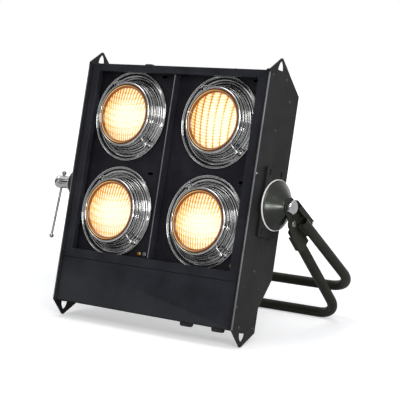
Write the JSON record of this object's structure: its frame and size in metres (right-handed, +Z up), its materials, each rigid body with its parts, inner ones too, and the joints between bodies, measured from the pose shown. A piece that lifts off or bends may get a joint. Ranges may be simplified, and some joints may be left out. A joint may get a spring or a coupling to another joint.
{
  "type": "audience blinder light",
  "caption": "Leaning sheet-metal floodlight with round lamps behind a front frame, carried on a tilting tube yoke with a folding tube stand.",
  "frame": {"origin": "centre of the bounding box's base, on the floor", "axes": "+Z up, the lamps face -Y and lean back, +X to the right seen from the front"},
  "size_m": [0.5683, 0.3288, 0.486],
  "materials": {
    "black_coat": "fine textured powder coat",
    "rail_coat": "satin powder coat",
    "tube_coat": "satin powder coat",
    "cone_coat": "dark satin lacquer with turning marks",
    "chrome_plate": "polished",
    "plain_steel": "zinc plated",
    "pale_nylon": "moulded",
    "lens_glass": "moulded flutes, lit warm",
    "reflector_silvering": "silvered",
    "ceramic": "unglazed",
    "black_plastic": "moulded",
    "lead_sleeve": "woven sleeve"
  },
  "bodies": {
    "casing": {"left_side_panel": "black_coat", "right_side_panel": "black_coat", "front_frame": "rail_coat", "centre_divider": "rail_coat", "lower_front_cover": "rail_coat", "left_lamp_plate": "black_coat", "right_lamp_plate": "black_coat", "lamp_holder_1": "chrome_plate", "lamp_bezel_1": "chrome_plate", "lamp_lens_1": "lens_glass", "lamp_reflector_1": "reflector_silvering", "lamp_socket_1": "ceramic", "lamp_clip_1": "chrome_plate", "lamp_holder_2": "chrome_plate", "lamp_bezel_2": "chrome_plate", "lamp_lens_2": "lens_glass", "lamp_reflector_2": "reflector_silvering", "lamp_socket_2": "ceramic", "lamp_clip_2": "chrome_plate", "lamp_holder_3": "chrome_plate", "lamp_bezel_3": "chrome_plate", "lamp_lens_3": "lens_glass", "lamp_reflector_3": "reflector_silvering", "lamp_socket_3": "ceramic", "lamp_clip_3": "chrome_plate", "lamp_holder_4": "chrome_plate", "lamp_bezel_4": "chrome_plate", "lamp_lens_4": "lens_glass", "lamp_reflector_4": "reflector_silvering", "lamp_socket_4": "ceramic", "lamp_clip_4": "chrome_plate", "top_cover": "black_coat", "rear_cover": "black_coat", "lower_rear_cover": "black_coat", "compartment_shelf": "black_coat", "terminal_block": "ceramic", "left_column_lead": "lead_sleeve", "right_column_lead": "lead_sleeve", "cable_gland_1": "black_plastic", "cable_gland_2": "black_plastic", "left_pivot_plate": "black_coat", "left_pivot_ring": "pale_nylon", "left_pivot_cone": "cone_coat", "right_pivot_plate": "black_coat", "right_pivot_ring": "pale_nylon", "right_pivot_cone": "cone_coat", "right_pivot_bolt": "chrome_plate", "right_pivot_nut": "plain_steel", "left_pivot_stud": "plain_steel"},
    "yoke": {"yoke_tube": "tube_coat", "friction_washer": "pale_nylon", "left_yoke_bracket": "tube_coat", "left_hinge_bolt": "plain_steel", "right_yoke_bracket": "tube_coat", "right_hinge_bolt": "plain_steel"},
    "stand": {"stand_tube": "tube_coat", "left_stand_bracket": "tube_coat", "right_stand_bracket": "tube_coat"},
    "handle": {"handle_boss": "chrome_plate"},
    "bar": {"tommy_bar": "chrome_plate"}
  },
  "joints": [
    {"name": "yoke_tilt", "type": "hinge", "parent": "casing", "child": "yoke", "pos_m": [0.02145, -0.04535, 0.23411], "axis": [1, 0, 0], "range_deg": [-120, 150]},
    {"name": "stand_fold", "type": "hinge", "parent": "yoke", "child": "stand", "pos_m": [0.02145, -0.03577, 0.20356], "axis": [1, 0, 0], "range_deg": [-85, 5]},
    {"name": "handle_turn", "type": "hinge", "parent": "casing", "child": "handle", "pos_m": [0.02145, -0.04535, 0.23411], "axis": [-1, 0, 0], "range_deg": [-180, 180]},
    {"name": "bar_slide", "type": "slide", "parent": "handle", "child": "bar", "axis": [0, 0.309, 0.9511], "range_m": [0, 0.089]}
  ]
}
